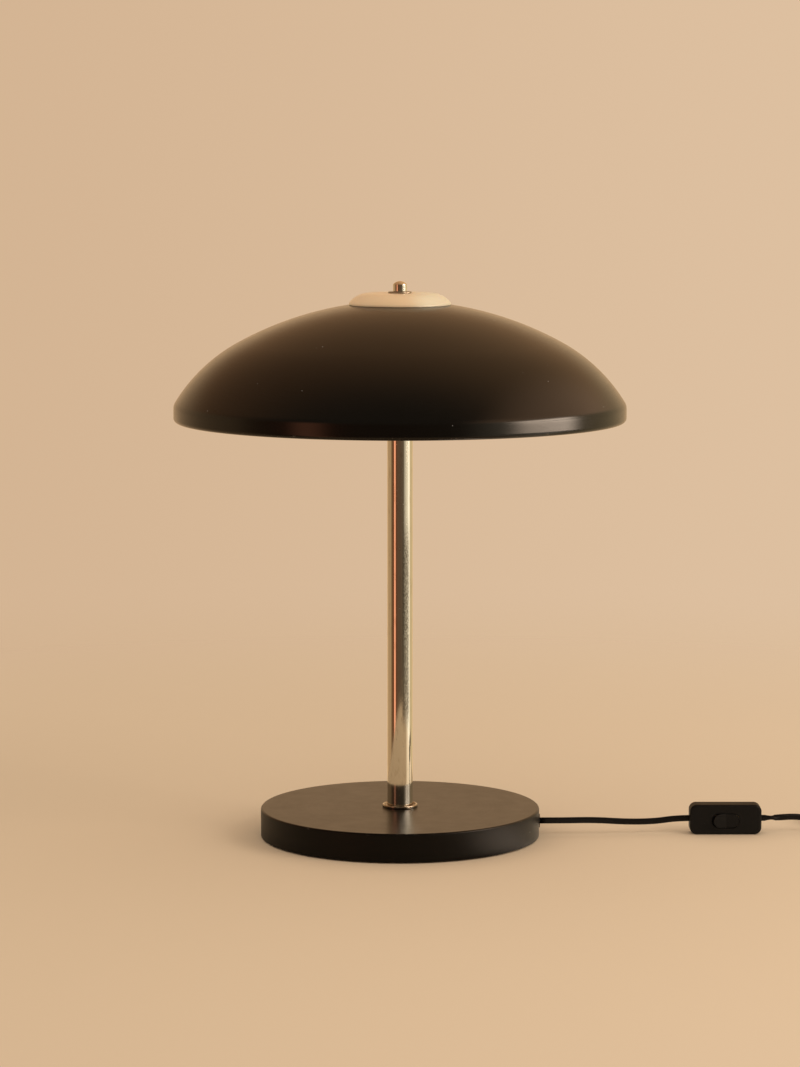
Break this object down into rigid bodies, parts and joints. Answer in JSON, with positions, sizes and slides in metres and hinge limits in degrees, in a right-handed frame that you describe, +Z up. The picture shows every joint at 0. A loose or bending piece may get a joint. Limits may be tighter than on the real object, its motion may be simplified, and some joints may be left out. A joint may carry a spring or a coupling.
{
  "type": "mushroom table lamp",
  "caption": "Table lamp with a wide domed metal shade on a slim plated stem and a weighted round base, with an in-line rocker switch on its flat cord.",
  "frame": {"origin": "on the table under the middle of the round base", "axes": "+Z up the stem, +X to the side where the cord leaves the base, -Y to the front"},
  "size_m": [0.6439, 0.3854, 0.4778],
  "materials": {
    "black_enamel": "satin black stove enamel",
    "ivory_plastic": "ivory moulded plastic, slightly yellowed",
    "bright_nickel": "polished nickel plate with light age",
    "cord_black": "black vinyl sheath",
    "switch_black": "black moulded plastic",
    "black_rubber": "black rubber",
    "cast_iron": "as cast",
    "steel": "zinc plated",
    "brass": "plain brass",
    "felt": "dark wool felt",
    "fibre_board": "red-brown fibre",
    "lead_sleeve": "white silicone sleeve",
    "porcelain": "unglazed white",
    "phenolic": "black phenolic moulding",
    "opal_glass": "opal white",
    "bulb_base": "bright aluminium",
    "tie_strap": "black hook and loop strap",
    "plated_pin": "nickel plated"
  },
  "bodies": {
    "lamp": {"base_cover": "black_enamel", "base_felt": "felt", "base_nipple": "steel", "base_nut": "steel", "base_plate": "steel", "base_plate_screws": "steel", "base_washer": "steel", "base_weight": "cast_iron", "bulb_cap_left": "bulb_base", "bulb_cap_right": "bulb_base", "bulb_glass_left": "opal_glass", "bulb_glass_right": "opal_glass", "cluster_cup": "bright_nickel", "cluster_lid": "bright_nickel", "cluster_nipple": "steel", "cluster_nut": "steel", "cord_clamp": "fibre_board", "cord_clamp_screws": "steel", "cord_coil": "cord_black", "cord_from_switch": "cord_black", "cord_grommet": "black_rubber", "cord_tail": "cord_black", "cord_tie": "tie_strap", "cord_to_plug": "cord_black", "cord_to_switch": "cord_black", "holder_cap_left": "phenolic", "holder_cap_right": "phenolic", "holder_contacts": "brass", "holder_insert_left": "porcelain", "holder_insert_right": "porcelain", "holder_nipples": "steel", "holder_sleeve_left": "phenolic", "holder_sleeve_right": "phenolic", "holder_thread_left": "brass", "holder_thread_right": "brass", "holder_wires": "lead_sleeve", "inner_lead": "lead_sleeve", "plug_body": "switch_black", "plug_pins": "plated_pin", "rocker_pin": "steel", "shade": "black_enamel", "shade_cap": "ivory_plastic", "shade_rod": "steel", "shade_rod_nuts": "steel", "shade_seat": "steel", "stem_bush_lower": "brass", "stem_bush_upper": "brass", "stem_flange": "bright_nickel", "stem_tube": "bright_nickel", "switch_back_shell": "switch_black", "switch_front_shell": "switch_black", "switch_screws": "steel", "switch_terminals": "brass", "switch_wires": "lead_sleeve", "terminal_block": "porcelain"},
    "rocker": {"switch_rocker": "switch_black", "switch_bridge": "brass"},
    "finial_washer": {"finial_washer": "bright_nickel"},
    "finial_knob": {"finial_knob": "bright_nickel"}
  },
  "joints": [
    {"name": "rocker_tilt", "type": "hinge", "parent": "lamp", "child": "rocker", "pos_m": [0.2815, 0.0037, 0.012], "axis": [0, 0, 1], "range_deg": [-16, 0]},
    {"name": "finial_lift", "type": "slide", "parent": "lamp", "child": "finial_washer", "axis": [0, 0, 1], "range_m": [0, 0.006]},
    {"name": "finial_turn", "type": "hinge", "parent": "finial_washer", "child": "finial_knob", "pos_m": [0, 0, 0.4688], "axis": [0, 0, 1], "range_deg": [0, 2165]}
  ],
  "couplings": [
    {"joint": "finial_turn", "follows": "finial_lift", "rad_per_m": 6283.2}
  ]
}
